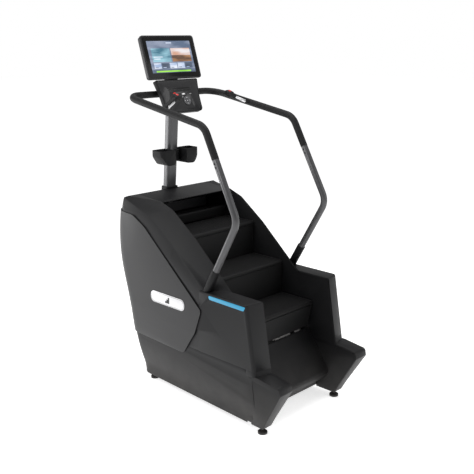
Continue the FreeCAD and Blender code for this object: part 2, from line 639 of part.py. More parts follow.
def tread(index):
    tip = nose(index)
    outline = ((tip.y, tip.z, 11), (tip.y + STEP_RUN + TREAD_BACK, tip.z, 3),
               (tip.y + STEP_RUN + TREAD_BACK, tip.z - TREAD_T, 3), (tip.y + 4, tip.z - TREAD_T, 6))
    return side_shape(outline, -STEP_HALF, STEP_HALF)


def riser(index, length=184.0, lean=0.02, gap=GAP):
    """Front face of a step, down to behind the tread below."""
    tip = nose(index)
    top = tip.z - TREAD_T - gap
    low = top - length
    outline = ((tip.y + 6, top, 1), (tip.y + 6 + lean * length, low, 3),
               (tip.y + 6 + RISER_T + lean * length, low, 3), (tip.y + 6 + RISER_T, top, 1))
    return side_shape(outline, -STEP_HALF, STEP_HALF)


def step_bracket(index):
    """Triangular cheek that carries a tread on the chain."""
    tip = nose(index)
    foot = tip + INTO * CHAIN_DEPTH
    back = V(0, tip.y + STEP_RUN - 6, tip.z - TREAD_T)
    front = V(0, tip.y + 70, tip.z - TREAD_T)
    near, far = foot - ALONG * 32, foot - ALONG * 96
    outline = ((front.y, front.z, 0), (near.y, near.z - 4, 8), (far.y, far.z - 4, 8), (back.y, back.z, 0))
    return side_shape(outline, CHEEK_X0, CHEEK_X1)


def folded_step(axle, heading, outward):
    """A step lying flat along the chain: its tread with the riser folded against it."""
    def plate_at(off0, off1, run0, run1):
        corners = [axle + outward * off0 + heading * run0, axle + outward * off0 + heading * run1,
                   axle + outward * off1 + heading * run1, axle + outward * off1 + heading * run0]
        face = Part.Face(Part.makePolygon([at_x(c, -STEP_HALF) for c in corners + corners[:1]]))
        return face.extrude(V(2 * STEP_HALF, 0, 0))
    tread_plate = plate_at(11, 11 + TREAD_T, -10, STEP_RUN)
    riser_plate = plate_at(11 + TREAD_T, 11 + TREAD_T + RISER_T, 60, STEP_RUN - 4)
    cheeks = []
    for x0 in (-CHEEK_X1, CHEEK_X0):
        corners = [axle + outward * -4 + heading * -8, axle + outward * 11 + heading * -8,
                   axle + outward * 11 + heading * 30, axle + outward * -4 + heading * 12]
        face = Part.Face(Part.makePolygon([at_x(c, x0) for c in corners + corners[:1]]))
        cheeks.append(face.extrude(V(CHEEK_X1 - CHEEK_X0, 0, 0)))
    return tread_plate.fuse([riser_plate] + cheeks)


def staircase():
    for index in range(STEP_COUNT):
        cheek = step_bracket(index)
        tread_solid = tread(index).fuse([cheek, mirrored(cheek)])
        if index == 0:
            export("tread_1", tread_solid)
            export("riser_1", riser(0, 142.0, 0.222, 3.0))      # leans in to swing behind the comb
        else:
            export("step_" + str(index + 1), tread_solid, riser(index))
    folded = []
    for along in (70.0, 70.0 + STEP_PITCH):
        axle = LOWER + INTO * CHAIN_R - ALONG * along
        folded.append(folded_step(axle, ALONG * -1, INTO))
    export("return_steps", *folded)
    angle = OUTWARD + math.radians(56)
    outward = V(0, math.cos(angle), math.sin(angle))
    heading = V(0, -math.sin(angle), math.cos(angle))
    export("lower_folded_step", folded_step(LOWER + outward * CHAIN_R, heading, outward))
    export("top_step", top_step())


def top_step():
    """The step that is just coming over the upper shaft, part unfolded."""
    tip = TOP_NOSE
    outline = ((tip.y, tip.z, 11), (tip.y + 150, tip.z - 26, 60), (tip.y + 206, tip.z - 108, 3),
               (tip.y + 184, tip.z - 118, 3), (tip.y + 130, tip.z - 48, 40), (tip.y + 18, tip.z - 26, 3),
               (tip.y + 26, tip.z - 66, 2), (tip.y + 13, tip.z - 66, 2))
    body = side_shape(outline, -STEP_HALF, STEP_HALF)
    cheek = side_shape(((tip.y + 40, tip.z - 26, 0), (tip.y + 36, tip.z - 90, 6), (tip.y + 92, tip.z - 112, 6),
                        (tip.y + 128, tip.z - 40, 0)), CHEEK_X0, CHEEK_X1)
    return body.fuse([cheek, mirrored(cheek)])


def kick_panel():
    """Sloping panel below the lowest step, with a toothed comb along its top edge."""
    half = WELL_HALF - 0.5
    outline = ((168, 399, 2), (164, 386, 1), (13, 163, 32), (43, 116, 12), (96, 108, 0), (96, 112, 0),
               (46, 120.5, 9), (18.5, 163, 28), (173, 388, 1), (177.5, 399, 2))
    panel = side_shape(outline, -half, half)
    teeth = [box(-half + 8 + 14 * i, -half + 15 + 14 * i, 169, 176, 396, 407) for i in range(39)]
    export("kick_panel", panel.fuse(teeth))


def chain_run(start, direction, pins):
    """Straight run of chain: side plates over evenly spaced rollers."""
    length = CHAIN_PITCH * (pins - 1)
    turn = FreeCAD.Rotation(V(0, 1, 0), direction)
    across = V(1, 0, 0)
    pieces = []
    for side in (-1, 1):
        low = min(side * 4.0, side * 7.0)
        plate = Part.makeBox(3, length + 14, 2 * LINK_HALF, V(low, -7, -LINK_HALF))
        plate = plate.makeFillet(6, [e for e in plate.Edges if e.BoundBox.XLength > 2.9
                                     and e.BoundBox.YLength < 0.1])
        pieces.append(plate)
    for index in range(pins):
        pieces.append(rod(V(-7, index * CHAIN_PITCH, 0), across, ROLLER_R, 14))
    body = pieces[0].fuse(pieces[1:])
    body.Placement = FreeCAD.Placement(start, turn)
    return body


def polar(centre, angle, radius):
    return centre + V(0, math.cos(angle) * radius, math.sin(angle) * radius)


def chain_wrap(centre, first, pins):
    """Chain wrapped round a sprocket, from the angle of its first roller."""
    outer, inner = CHAIN_R + LINK_HALF, CHAIN_R - LINK_HALF
    band = ring(centre - V(7, 0, 0), V(1, 0, 0), outer, inner, 3)
    band = band.fuse(ring(centre + V(4, 0, 0), V(1, 0, 0), outer, inner, 3))
    start, end = first - 0.12, first + TOOTH_STEP * (pins - 1) + 0.12
    points = [centre]
    for index in range(9):
        points.append(polar(centre, start + (end - start) * index / 8, CHAIN_R * 1.6))
    wedge = Part.Face(Part.makePolygon([p - V(20, 0, 0) for p in points + [centre]]))
    band = band.common(wedge.extrude(V(40, 0, 0)))
    rollers = [rod(polar(centre, first + TOOTH_STEP * i, CHAIN_R) - V(7, 0, 0), V(1, 0, 0), ROLLER_R, 14)
               for i in range(pins)]
    return band.fuse(rollers)


def sprocket(centre, phase, bore):
    body = rod(centre - V(3, 0, 0), V(1, 0, 0), CHAIN_R - 10, 6)
    teeth = []
    for index in range(TEETH):
        angle = phase + TOOTH_STEP * (index + 0.5)
        corners = [polar(centre, angle - 0.05, CHAIN_R - 12), polar(centre, angle - 0.018, CHAIN_R + 5),
                   polar(centre, angle + 0.018, CHAIN_R + 5), polar(centre, angle + 0.05, CHAIN_R - 12)]
        face = Part.Face(Part.makePolygon([c - V(3, 0, 0) for c in corners + corners[:1]]))
        teeth.append(face.extrude(V(6, 0, 0)))
    body = body.fuse(teeth).fuse(rod(centre - V(8.0, 0, 0), V(1, 0, 0), 34, 16))
    holes = [rod(polar(centre, phase + 1.047 * i, 72) - V(20, 0, 0), V(1, 0, 0), 22, 40) for i in range(6)]
    return body.cut(holes).cut(rod(centre - V(20, 0, 0), V(1, 0, 0), bore, 40))


def drive():
    pins = RUN_LINKS + 1
    run, back, low_wrap, top_wrap = [], [], [], []
    for x in (-CHAIN_X, CHAIN_X):
        run.append(chain_run(at_x(LOWER - INTO * CHAIN_R, x), ALONG * -1, pins))
        back.append(chain_run(at_x(LOWER + INTO * CHAIN_R, x), ALONG * -1, pins))
        low_wrap.append(chain_wrap(at_x(LOWER, x), OUTWARD + TOOTH_STEP, WRAP_PINS))
        top_wrap.append(chain_wrap(at_x(UPPER, x), OUTWARD + math.pi + TOOTH_STEP, WRAP_PINS))
    export("front_run_chains", *run)
    export("return_run_chains", *back)
    export("lower_chain_wraps", *low_wrap)
    export("upper_chain_wraps", *top_wrap)
    for name, centre in (("lower", LOWER), ("upper", UPPER)):
        wheels = [sprocket(at_x(centre, x), OUTWARD, SHAFT_R) for x in (-CHAIN_X, CHAIN_X)]
        if name == "upper":
            wheels.append(pulley(centre, DRIVE_R, SHAFT_R, BELT_X))
        export(name + "_shaft", rod(at_x(centre, -322), V(1, 0, 0), SHAFT_R, 646).fuse(wheels))
    export("shaft_bearings", *bearings())


def bearings():
    rings = []
    for centre in (LOWER, UPPER):
        for x in (PLATE_X0, -PLATE_X1):
            rings.append(ring(at_x(centre, x), V(1, 0, 0), BEARING_R, SHAFT_R + RUNNING, PLATE_X1 - PLATE_X0))
    rings.append(ring(at_x(IDLER, 286), V(1, 0, 0), BEARING_R, IDLER_SHAFT_R + RUNNING, PLATE_X1 - 286))
    return rings


def pulley(centre, radius, bore, span):
    x0, x1 = span
    wheel = rod(at_x(centre, x0), V(1, 0, 0), radius, x1 - x0)
    if radius > 60:
        groove = ring(at_x(centre, x0 + 4), V(1, 0, 0), radius - 12, 34, x1 - x0)
        wheel = wheel.cut(groove)
    return wheel.cut(rod(at_x(centre, x0 - 1), V(1, 0, 0), bore, x1 - x0 + 2))


def belt(first, first_r, second, second_r, span):
    """Open belt round two pulleys, a hair clear of both."""
    def loop(extra):
        a, b = first_r + extra, second_r + extra
        run = second - first
        lean = math.acos((a - b) / run.Length)
        base = math.atan2(run.z, run.y)
        points = [polar(first, base + lean, a), polar(second, base + lean, b),
                  polar(second, base, b), polar(second, base - lean, b),
                  polar(first, base - lean, a), polar(first, base + math.pi, a)]
        points = [at_x(point, span[0]) for point in points]
        edges = [Part.makeLine(points[0], points[1]), Part.Arc(points[1], points[2], points[3]).toShape(),
                 Part.makeLine(points[3], points[4]), Part.Arc(points[4], points[5], points[0]).toShape()]
        return Part.Face(Part.Wire(edges)).extrude(V(span[1] - span[0], 0, 0))
    return loop(GAP + BELT_T).cut(loop(GAP))


def power_train():
    first = belt(UPPER, DRIVE_R, IDLER, IDLER_R, BELT_X)
    second = belt(IDLER, IDLER_BIG_R, GEN, GEN_R, SECOND_BELT_X)
    export("drive_belts", first, second)
    small = pulley(IDLER, IDLER_R, IDLER_SHAFT_R, BELT_X)
    big = pulley(IDLER, IDLER_BIG_R, IDLER_SHAFT_R, SECOND_BELT_X)
    export("intermediate_shaft", rod(at_x(IDLER, 286), V(1, 0, 0), IDLER_SHAFT_R, 52).fuse([small, big]))
    case = rod(at_x(GEN, 150), V(1, 0, 0), 62, PLATE_X0 - 150)
    case = case.cut(rod(at_x(GEN, 158), V(1, 0, 0), 56, 134))
    case = case.cut(rod(at_x(GEN, 280), V(1, 0, 0), GEN_SHAFT_R + RUNNING, 30))
    export("alternator_case", case)
    rotor = rod(at_x(GEN, 166), V(1, 0, 0), 50, 118).fuse(rod(at_x(GEN, 280), V(1, 0, 0), GEN_SHAFT_R, 58))
    export("alternator_rotor", rotor.fuse(pulley(GEN, GEN_R, GEN_SHAFT_R, SECOND_BELT_X)))


# ---- floor contact and power entry --------------------------------------------------------------
def feet():
    for name, spot in (("entry_foot", ENTRY_FOOT), ("console_foot", CONSOLE_FOOT)):
        pad = rod(spot, V(0, 0, 1), FOOT_R, FOOT_T)
        pad = pad.makeFillet(4, [e for e in pad.Edges if abs(e.BoundBox.ZMin - FOOT_T) < 0.1])
        foot = pad.fuse(rod(spot + V(0, 0, FOOT_T), V(0, 0, 1), STEM_R, 52))
        export_pair(name, foot)


def transport_wheels():
    groove = ring(WHEEL + V(6, 0, 0), V(1, 0, 0), WHEEL_R + 2, WHEEL_R - 3, 10)
    wheel = rod(WHEEL, V(1, 0, 0), WHEEL_R, 22).cut(groove)
    axle = rod(V(-WHEEL.x - 27, WHEEL.y, WHEEL.z), V(1, 0, 0), 5, 2 * WHEEL.x + 54)
    export("transport_wheels", axle.fuse(both(wheel)))


def wheel_fork():
    """Two cheeks on the console cross tube that carry one end of the wheel axle."""
    cheeks = []
    for x in (WHEEL.x - 5, WHEEL.x + 23):
        cheek = box(x, x + 4, 940, WHEEL.y + 12, 50, 80)
        cheek = cheek.cut(rod(V(x - 1, WHEEL.y, WHEEL.z), V(1, 0, 0), 5 + RUNNING, 6))
        cheeks.append(cheek)
    return cheeks[0].fuse(cheeks[1])


def power_entry():
    flange = box(-INLET_HALF - 8, INLET_HALF + 8, 1052, 1055, INLET_Z0 - 6, INLET_Z1 + 6)
    panel = flange.cut(box(-36, 0, 1050, 1056, 128, 162)).cut(box(8, 30, 1050, 1056, 128, 162))
    socket = box(-36, 0, 1044, 1064, 128, 162).cut(box(-30, -6, 1048, 1070, 133, 157))
    pins = [box(x - 1.5, x + 1.5, 1044, 1060, z, z + 7) for x, z in ((-25, 138), (-18, 146), (-11, 138))]
    export("power_inlet", panel.fuse([socket] + pins))
    rocker = side_shape(((1050, 131, 1), (1061, 131, 1), (1057.5, 145, 2), (1061, 159, 1), (1050, 159, 1)), 10, 28)
    export("power_switch", rocker)


def build():
    outer, inner = housing(0), housing(WALL)
    side_covers(outer, inner)
    hood_and_rear(outer, inner)
    inner_walls()
    frame()
    mast()
    handrail(outer)
    stub_grips()
    accessory_holders()
    display()
    keypad()
    head_casting()
    staircase()
    kick_panel()
    drive()
    power_train()
    feet()
    transport_wheels()
    power_entry()


build()
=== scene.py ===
"""Looks of a stair climber: moulded covers, ribbed treads, handrails, display and keypad.

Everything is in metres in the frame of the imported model: +X is the climber's right, +Y the way the
climber faces, +Z up. Each operator makes one piece or one group of like pieces.
"""
import json
import math

import bpy
from mathutils import Matrix, Vector

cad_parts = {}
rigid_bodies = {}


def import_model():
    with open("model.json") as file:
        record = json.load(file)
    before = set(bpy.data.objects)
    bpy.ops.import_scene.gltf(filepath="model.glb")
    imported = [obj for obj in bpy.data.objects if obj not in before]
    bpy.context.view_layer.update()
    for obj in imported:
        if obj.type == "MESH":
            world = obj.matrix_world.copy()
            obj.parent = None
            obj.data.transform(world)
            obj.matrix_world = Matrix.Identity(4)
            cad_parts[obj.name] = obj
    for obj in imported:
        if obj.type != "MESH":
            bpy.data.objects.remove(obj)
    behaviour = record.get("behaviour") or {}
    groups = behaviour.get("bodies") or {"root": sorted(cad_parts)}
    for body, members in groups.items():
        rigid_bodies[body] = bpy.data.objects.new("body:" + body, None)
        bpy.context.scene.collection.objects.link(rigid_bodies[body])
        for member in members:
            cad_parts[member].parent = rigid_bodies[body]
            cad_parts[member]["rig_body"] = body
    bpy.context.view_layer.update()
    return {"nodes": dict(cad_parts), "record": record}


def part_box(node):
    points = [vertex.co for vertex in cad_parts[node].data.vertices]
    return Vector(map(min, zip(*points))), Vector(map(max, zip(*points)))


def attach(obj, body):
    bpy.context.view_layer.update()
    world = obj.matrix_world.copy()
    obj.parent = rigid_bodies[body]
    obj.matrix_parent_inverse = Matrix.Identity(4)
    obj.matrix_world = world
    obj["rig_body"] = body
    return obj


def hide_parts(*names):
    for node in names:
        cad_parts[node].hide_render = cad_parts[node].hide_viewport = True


bl_info = {
    "name": "Stair Climber Looks",
    "version": (1, 0, 0),
    "blender": (4, 5, 0),
    "location": "3D View > Sidebar > Stair Climber",
    "description": "Builds the visible pieces and finishes of a stair climber round its CAD frame",
    "category": "Object",
}

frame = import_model()

EYE = Vector((-3.2136, -3.1016, 2.1321))
EYE_YAW = math.radians(45.96)
EYE_PITCH = math.radians(14.69)
LENS = 59.41
SCREEN_FOOT, SCREEN_TILT = Vector((0.0, 0.517, 1.863)), math.atan2(80, 249)
PANEL_FOOT, PANEL_TILT = Vector((0.0, 0.435, 1.665)), math.atan2(80, 192)
RAIL_BASE, RAIL_KNEE = Vector((0.356, -0.030, 0.590)), Vector((0.373, -0.357, 1.172))
RAIL_SHOULDER = Vector((0.361, -0.102, 1.650))
RAIL_RADIUS = 0.019
SLEEVE_INNER, SLEEVE_REACH = 0.0215, 0.34      # a foot sleeve's faces lie further out and lower than this
SCREW_SPOTS = (0.57, 0.61)                     # share of the way from the lower to the upper bend
SCREW_PROFILE = ((0.0, -0.004), (0.0052, -0.004), (0.0052, 0.0012), (0.0040, 0.0024),
                 (0.0024, 0.0026), (0.0022, 0.0008), (0.0, 0.0008))
BADGE_INSET, BADGE_RIM, SIGN_SHARE = 0.004, 0.0016, 0.36
PAD_CENTRE, ARROW_REACH, ARROW_TIP, DOT_RADIUS = (0.038, 0.070), 0.0165, 0.0042, 0.003
STEP_RUN = 0.2395
FLOOR_WHITE = (0.92, 0.92, 0.92, 1.0)
AMBIENT = 0.42                                 # sky strength for everything but the camera


# ---- settings -----------------------------------------------------------------------------------
def colour(name, description, value):
    return bpy.props.FloatVectorProperty(name=name, description=description, default=value, size=3,
                                         min=0.0, max=1.0, subtype="COLOR")


def length(name, description, value):
    return bpy.props.FloatProperty(name=name, description=description, default=value, min=0.0,
                                   unit="LENGTH", subtype="DISTANCE")


class ClimberSizes(bpy.types.PropertyGroup):
    cover_edge: length("Cover edge", "Rounding of the moulded cover edges", 0.0022)
    metal_edge: length("Metal edge", "Rounding of the metal edges", 0.0008)
    rib_pitch: length("Rib pitch", "Distance between the grip ribs of a tread", 0.0095)
    rib_height: length("Rib height", "Height of the grip ribs of a tread", 0.0012)
    picture_half: length("Picture half width", "Half the width of the lit picture", 0.1725)
    picture_low: length("Picture bottom", "Lower edge of the picture above the display's lower edge", 0.034)
    picture_height: length("Picture height", "Height of the lit picture", 0.194)


class ClimberColours(bpy.types.PropertyGroup):
    charcoal: colour("Charcoal", "Moulded body covers", (0.0072, 0.0072, 0.0080))
    accent: colour("Accent", "Raised panels on the sides", (0.044, 0.044, 0.045))
    inner: colour("Inner black", "Walls and trims inside the well", (0.0030, 0.0030, 0.0036))
    tread: colour("Tread", "Ribbed treads and risers", (0.0040, 0.0040, 0.0043))
    metallic: colour("Metallic", "Painted rails and mast", (0.085, 0.085, 0.088))
    grip: colour("Grip", "Soft black rail covering", (0.0080, 0.0080, 0.0085))
    light: colour("Light strip", "Lit strips under the shelves", (0.008, 0.380, 0.680))
    stop: colour("Stop red", "Stop key", (0.620, 0.020, 0.015))


def sizes():
    return bpy.context.scene.climber_sizes


def colours():
    return bpy.context.scene.climber_colours


# ---- mesh helpers -------------------------------------------------------------------------------
def clear_selection():
    if bpy.context.object and bpy.context.object.mode != "OBJECT":
        bpy.ops.object.mode_set(mode="OBJECT")
    bpy.ops.object.select_all(action="DESELECT")


def make_active(piece):
    clear_selection()
    piece.select_set(True)
    bpy.context.view_layer.objects.active = piece


def settle(piece, name=None):
    """Applies the modifiers and the transform, so that the piece's place is in its mesh."""
    make_active(piece)
    for modifier in list(piece.modifiers):
        bpy.ops.object.modifier_apply(modifier=modifier.name)
    bpy.ops.object.transform_apply(location=True, rotation=True, scale=True)
    if name:
        piece.name = name
        piece.data.name = name
    return piece


def smooth(piece, angle=32.0):
    make_active(piece)
    bpy.ops.object.shade_smooth_by_angle(angle=math.radians(angle))


def block(name, low, high):
    """A box between two corners, ready to be shaped."""
    clear_selection()
    middle = (Vector(low) + Vector(high)) / 2
    bpy.ops.mesh.primitive_cube_add(size=1.0, location=middle)
    piece = bpy.context.object
    piece.scale = Vector(high) - Vector(low)
    return settle(piece, name)


def bevel(piece, width, segments=3, angle=30.0):
    modifier = piece.modifiers.new("edge", "BEVEL")
    modifier.width = width
    modifier.segments = segments
    modifier.limit_method = "ANGLE"
    modifier.angle_limit = math.radians(angle)
    make_active(piece)
    bpy.ops.object.modifier_apply(modifier=modifier.name)


def join(pieces, name):
    clear_selection()
    for piece in pieces:
        piece.select_set(True)
    bpy.context.view_layer.objects.active = pieces[0]
    if len(pieces) > 1:
        bpy.ops.object.join()
    joined = bpy.context.object
    joined.name = name
    joined.data.name = name
    return joined


def repeat(piece, count, step):
    """Copies the piece along a step, in one mesh."""
    modifier = piece.modifiers.new("row", "ARRAY")
    modifier.count = count
    modifier.use_relative_offset = False
    modifier.use_constant_offset = True
    modifier.constant_offset_displace = step
    make_active(piece)
    bpy.ops.object.modifier_apply(modifier=modifier.name)


def lean_back(piece, angle, foot):
    """Leans a piece built upright at the world origin back by the angle and stands it on foot."""
    piece.rotation_euler = (-angle, 0.0, 0.0)
    piece.location = foot
    return settle(piece)


def stand_along(piece, start, end):
    """Turns a piece built up the Z axis to run from start towards end."""
    piece.rotation_euler = (end - start).to_track_quat("Z", "Y").to_euler()
    piece.location = start
    return settle(piece)


def set_outline(name, corners, fill):
    """An outline of corners, filled or open, with edit mode on and all of it selected."""
    clear_selection()
    bpy.ops.mesh.primitive_circle_add(vertices=len(corners), fill_type=fill)
    piece = settle(bpy.context.object, name)
    for vertex, corner in zip(piece.data.vertices, corners):
        vertex.co = corner
    bpy.ops.object.mode_set(mode="EDIT")
    bpy.ops.mesh.select_all(action="SELECT")
    return piece


def close_outline():
    """Turns every face of the piece outwards and leaves edit mode."""
    bpy.ops.mesh.select_all(action="SELECT")
    bpy.ops.mesh.normals_make_consistent(inside=False)
    bpy.ops.object.mode_set(mode="OBJECT")


def prism(name, corners, low_y, high_y):
    """A flat plate across Y from its (x, z) corners, made by extruding one face."""
    piece = set_outline(name, [(x, low_y, z) for x, z in corners], "NGON")
    bpy.ops.mesh.extrude_region_move(TRANSFORM_OT_translate={"value": (0.0, high_y - low_y, 0.0)})
    close_outline()
    return piece


def ring_plate(name, corners, width, low_y, high_y):
    """A flat frame across Y that follows an outline inwards by its width."""
    piece = set_outline(name, [(x, low_y, z) for x, z in corners], "NGON")
    bpy.ops.mesh.inset(thickness=width, depth=0.0)
    bpy.ops.mesh.delete(type="FACE")
    bpy.ops.mesh.select_all(action="SELECT")
    bpy.ops.mesh.extrude_region_move(TRANSFORM_OT_translate={"value": (0.0, high_y - low_y, 0.0)})
    close_outline()
    return piece


def turned(name, profile, segments):
    """A ring or button turned round the Z axis from its closed (radius, height) profile."""
    piece = set_outline(name, [(radius, 0.0, height) for radius, height in profile], "NOTHING")
    bpy.ops.mesh.spin(steps=segments, angle=2 * math.pi, center=(0.0, 0.0, 0.0), axis=(0.0, 0.0, 1.0))
    bpy.ops.mesh.select_all(action="SELECT")
    bpy.ops.mesh.remove_doubles(threshold=0.00001)
    close_outline()
    smooth(piece)
    return piece


def skin(node, width, segments=2, angle=28.0):
    """A soft-edged copy of a CAD node, which stands for the node."""
    source = frame["nodes"][node]
    clear_selection()
    source.select_set(True)
    bpy.context.view_layer.objects.active = source
    bpy.ops.object.duplicate()
    piece = bpy.context.object
    piece.name = node + "_skin"
    piece.data.name = piece.name
    for key in list(piece.keys()):
        if key.startswith("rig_"):
            del piece[key]
    piece.parent = None
    bpy.ops.object.mode_set(mode="EDIT")
    bpy.ops.mesh.select_all(action="SELECT")
    bpy.ops.mesh.remove_doubles(threshold=0.00002)
    bpy.ops.mesh.dissolve_limited(angle_limit=math.radians(1.0))
    bpy.ops.mesh.normals_make_consistent(inside=False)
    bpy.ops.object.mode_set(mode="OBJECT")
    if width > 0:
        bevel(piece, width, segments, angle)
    smooth(piece)
    return piece


def body_of(node):
    return frame["nodes"][node]["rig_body"]


def record_slot(node):
    for entry in frame["record"]["subparts"]:
        if entry["node"] == node:
            return entry["material_slot"]
    raise ValueError("no slot for " + node)


def stand_in(node, width, material, segments=2, angle=28.0):
    """Shows a soft-edged copy in a node's place, with the given finish and on its body."""
    piece = skin(node, width, segments, angle)
    dress(piece, material)
    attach(piece, body_of(node))
    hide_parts(node)
    return piece


def place(piece, node, material=None):
    """A new piece that goes with a CAD node without hiding it; no material keeps its own."""
    if material:
        dress(piece, material)
    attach(piece, body_of(node))
    return piece


def dress(piece, *materials):
    piece.data.materials.clear()
    for material in materials:
        piece.data.materials.append(material)


# ---- shared surface effects ---------------------------------------------------------------------
def new_group(name, inputs, outputs):
    tree = bpy.data.node_groups.new(name, "ShaderNodeTree")
    for label, kind, value in inputs:
        socket = tree.interface.new_socket(label, in_out="INPUT", socket_type=kind)
        socket.default_value = value
    for label, kind in outputs:
        tree.interface.new_socket(label, in_out="OUTPUT", socket_type=kind)
    return tree, tree.nodes.new("NodeGroupInput"), tree.nodes.new("NodeGroupOutput")


def grain_group():
    """Fine moulded texture: a bump height and a faint change of gloss."""
    if "Moulded Grain" in bpy.data.node_groups:
        return bpy.data.node_groups["Moulded Grain"]
    tree, given, result = new_group(
        "Moulded Grain",
        [("Scale", "NodeSocketFloat", 900.0), ("Depth", "NodeSocketFloat", 0.5),
         ("Gloss", "NodeSocketFloat", 0.45), ("Gloss Change", "NodeSocketFloat", 0.12)],
        [("Height", "NodeSocketFloat"), ("Roughness", "NodeSocketFloat")])
    place_node = tree.nodes.new("ShaderNodeTexCoord")
    fine = tree.nodes.new("ShaderNodeTexNoise")
    fine.inputs["Detail"].default_value = 2.0
    pebble = tree.nodes.new("ShaderNodeTexVoronoi")
    broad = tree.nodes.new("ShaderNodeTexNoise")
    broad.inputs["Scale"].default_value = 5.0
    broad.inputs["Detail"].default_value = 5.0
    mix = tree.nodes.new("ShaderNodeMath")
    mix.operation = "MULTIPLY_ADD"
    mix.inputs[1].default_value = 0.45
    depth = tree.nodes.new("ShaderNodeMath")
    depth.operation = "MULTIPLY"
    centre = tree.nodes.new("ShaderNodeMath")
    centre.operation = "SUBTRACT"
    centre.inputs[1].default_value = 0.5
    change = tree.nodes.new("ShaderNodeMath")
    change.operation = "MULTIPLY_ADD"
    links = tree.links
    links.new(place_node.outputs["Object"], fine.inputs["Vector"])
    links.new(place_node.outputs["Object"], pebble.inputs["Vector"])
    links.new(place_node.outputs["Object"], broad.inputs["Vector"])
    links.new(given.outputs["Scale"], fine.inputs["Scale"])
    links.new(given.outputs["Scale"], pebble.inputs["Scale"])
    links.new(pebble.outputs["Distance"], mix.inputs[0])
    links.new(fine.outputs["Fac"], mix.inputs[2])
    links.new(mix.outputs[0], depth.inputs[0])
    links.new(given.outputs["Depth"], depth.inputs[1])
    links.new(broad.outputs["Fac"], centre.inputs[0])
    links.new(centre.outputs[0], change.inputs[0])
    links.new(given.outputs["Gloss Change"], change.inputs[1])
    links.new(given.outputs["Gloss"], change.inputs[2])
    links.new(depth.outputs[0], result.inputs["Height"])
    links.new(change.outputs[0], result.inputs["Roughness"])
    return tree


def dust_group():
    """Floor dust and shoe scuffs: paler towards the floor, in soft patches, with the dust's mask as a
    second output.
    """
    if "Floor Dust" in bpy.data.node_groups:
        return bpy.data.node_groups["Floor Dust"]
    tree, given, result = new_group(
        "Floor Dust",
        [("Colour", "NodeSocketColor", (0.04, 0.04, 0.04, 1.0)),
         ("Dust Colour", "NodeSocketColor", (0.16, 0.15, 0.14, 1.0)),
         ("Height", "NodeSocketFloat", 0.35), ("Amount", "NodeSocketFloat", 0.25)],
        [("Colour", "NodeSocketColor"), ("Mask", "NodeSocketFloat")])
    spot = tree.nodes.new("ShaderNodeTexCoord")
    split = tree.nodes.new("ShaderNodeSeparateXYZ")
    fade = tree.nodes.new("ShaderNodeMath")
    fade.operation = "DIVIDE"
    invert = tree.nodes.new("ShaderNodeMath")
    invert.operation = "SUBTRACT"
    invert.use_clamp = True
    invert.inputs[0].default_value = 1.0
    patches = tree.nodes.new("ShaderNodeTexNoise")
    patches.inputs["Scale"].default_value = 9.0
    patches.inputs["Detail"].default_value = 6.0
    spread = tree.nodes.new("ShaderNodeMath")
    spread.operation = "MULTIPLY"
    amount = tree.nodes.new("ShaderNodeMath")
    amount.operation = "MULTIPLY"
    amount.use_clamp = True
    blend = tree.nodes.new("ShaderNodeMix")
    blend.data_type = "RGBA"
    links = tree.links
    links.new(spot.outputs["Object"], split.inputs[0])
    links.new(split.outputs["Z"], fade.inputs[0])
    links.new(given.outputs["Height"], fade.inputs[1])
    links.new(fade.outputs[0], invert.inputs[1])
    links.new(spot.outputs["Object"], patches.inputs["Vector"])
    links.new(invert.outputs[0], spread.inputs[0])
    links.new(patches.outputs["Fac"], spread.inputs[1])
    links.new(spread.outputs[0], amount.inputs[0])
    links.new(given.outputs["Amount"], amount.inputs[1])
    links.new(amount.outputs[0], blend.inputs["Factor"])
    links.new(given.outputs["Colour"], blend.inputs["A"])
    links.new(given.outputs["Dust Colour"], blend.inputs["B"])
    links.new(blend.outputs["Result"], result.inputs["Colour"])
    links.new(amount.outputs[0], result.inputs["Mask"])
    return tree


def brushed_group():
    """Long fine scratches along one axis, as on brushed metal."""
    if "Brushed Lines" in bpy.data.node_groups:
        return bpy.data.node_groups["Brushed Lines"]
    tree, given, result = new_group(
        "Brushed Lines",
        [("Along", "NodeSocketVector", (8.0, 900.0, 900.0)), ("Gloss", "NodeSocketFloat", 0.3)],
        [("Height", "NodeSocketFloat"), ("Roughness", "NodeSocketFloat")])
    spot = tree.nodes.new("ShaderNodeTexCoord")
    stretch = tree.nodes.new("ShaderNodeVectorMath")
    stretch.operation = "MULTIPLY"
    lines = tree.nodes.new("ShaderNodeTexNoise")
    lines.inputs["Scale"].default_value = 1.0
    lines.inputs["Detail"].default_value = 3.0
    gloss = tree.nodes.new("ShaderNodeMath")
    gloss.operation = "MULTIPLY_ADD"
    gloss.inputs[1].default_value = 0.16
    links = tree.links
    links.new(spot.outputs["Object"], stretch.inputs[0])
    links.new(given.outputs["Along"], stretch.inputs[1])
    links.new(stretch.outputs[0], lines.inputs["Vector"])
    links.new(lines.outputs["Fac"], gloss.inputs[0])
    links.new(given.outputs["Gloss"], gloss.inputs[2])
    links.new(lines.outputs["Fac"], result.inputs["Height"])
    links.new(gloss.outputs[0], result.inputs["Roughness"])
    return tree


# ---- finishes -----------------------------------------------------------------------------------
def start_material(name):
    material = bpy.data.materials.new(name)
    material.use_nodes = True
    nodes = material.node_tree.nodes
    return material, nodes, material.node_tree.links, nodes["Principled BSDF"]


def group_node(nodes, tree, values):
    node = nodes.new("ShaderNodeGroup")
    node.node_tree = tree
    for label, value in values.items():
        node.inputs[label].default_value = value
    return node


def bump_from(nodes, links, height, shader, strength, distance):
    bump = nodes.new("ShaderNodeBump")
    bump.inputs["Strength"].default_value = strength
    bump.inputs["Distance"].default_value = distance
    links.new(height, bump.inputs["Height"])
    links.new(bump.outputs["Normal"], shader.inputs["Normal"])


